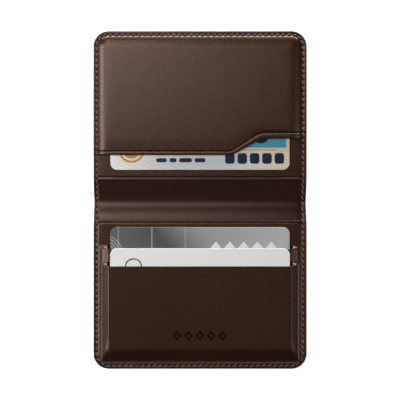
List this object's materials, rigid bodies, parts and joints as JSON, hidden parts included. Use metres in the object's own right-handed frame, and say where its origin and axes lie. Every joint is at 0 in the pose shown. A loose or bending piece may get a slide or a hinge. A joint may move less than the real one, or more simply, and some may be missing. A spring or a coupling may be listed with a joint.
{
  "type": "bifold card wallet",
  "caption": "Slim bifold leather card wallet lying open, with moulded slot and pocket panels holding bank-size cards, a stitched edge and a soft folding spine.",
  "frame": {"origin": "middle of the open wallet's outline, on the outer face of the cover that it lies on", "axes": "+X across the wallet, +Y from the slot half towards the pocket half, +Z out of the inside face"},
  "size_m": [0.102, 0.1616, 0.0064],
  "materials": {
    "outer_leather": "dark brown vegetable-tanned leather, smooth outer face, burnished and painted edge",
    "panel_leather": "dark brown leather, moulded and creased along its free edges",
    "lining_leather": "thin dark brown lining leather",
    "slot_liner": "thin brown non-woven liner",
    "board": "thin bonded board",
    "thread": "bonded polyester thread, light brown",
    "id_card_print": "printed PVC, satin laminate",
    "grey_card_print": "grey metallic-look printed PVC",
    "white_card_print": "matte white"
  },
  "bodies": {
    "lower_half": {"lower_cover": "outer_leather", "lower_stiffener": "board", "lower_lining": "lining_leather", "slot_back_ply": "slot_liner", "slot_divider": "slot_liner", "card_panel": "panel_leather", "lower_needle_thread": "thread", "lower_bobbin_thread": "thread"},
    "spine": {"spine_cover": "outer_leather", "spine_lining": "lining_leather", "spine_needle_thread": "thread", "spine_bobbin_thread": "thread"},
    "upper_half": {"upper_cover": "outer_leather", "upper_stiffener": "board", "upper_lining": "lining_leather", "backing_panel": "panel_leather", "pocket_panel": "panel_leather", "upper_needle_thread": "thread", "upper_bobbin_thread": "thread"},
    "id_card": {"id_card": "id_card_print"},
    "rear_card": {"rear_card": "grey_card_print"},
    "front_card": {"front_card": "white_card_print"}
  },
  "joints": [
    {"name": "lower_fold", "type": "hinge", "parent": "lower_half", "child": "spine", "pos_m": [0, -0.00562, 0.00055], "axis": [1, 0, 0], "range_deg": [0, 90]},
    {"name": "upper_fold", "type": "hinge", "parent": "spine", "child": "upper_half", "pos_m": [0, 0.00513, 0.00055], "axis": [1, 0, 0], "range_deg": [0, 90]},
    {"name": "id_card_slide", "type": "slide", "parent": "upper_half", "child": "id_card", "axis": [0, -1, 0], "range_m": [0, 0.0078]},
    {"name": "rear_card_slide", "type": "slide", "parent": "lower_half", "child": "rear_card", "axis": [0, 0.9998, 0.0175], "range_m": [0, 0.0058]},
    {"name": "front_card_slide", "type": "slide", "parent": "lower_half", "child": "front_card", "axis": [0, 0.9988, 0.048], "range_m": [0, 0.0158]}
  ],
  "couplings": [
    {"joint": "upper_fold", "follows": "lower_fold", "ratio": 1}
  ]
}
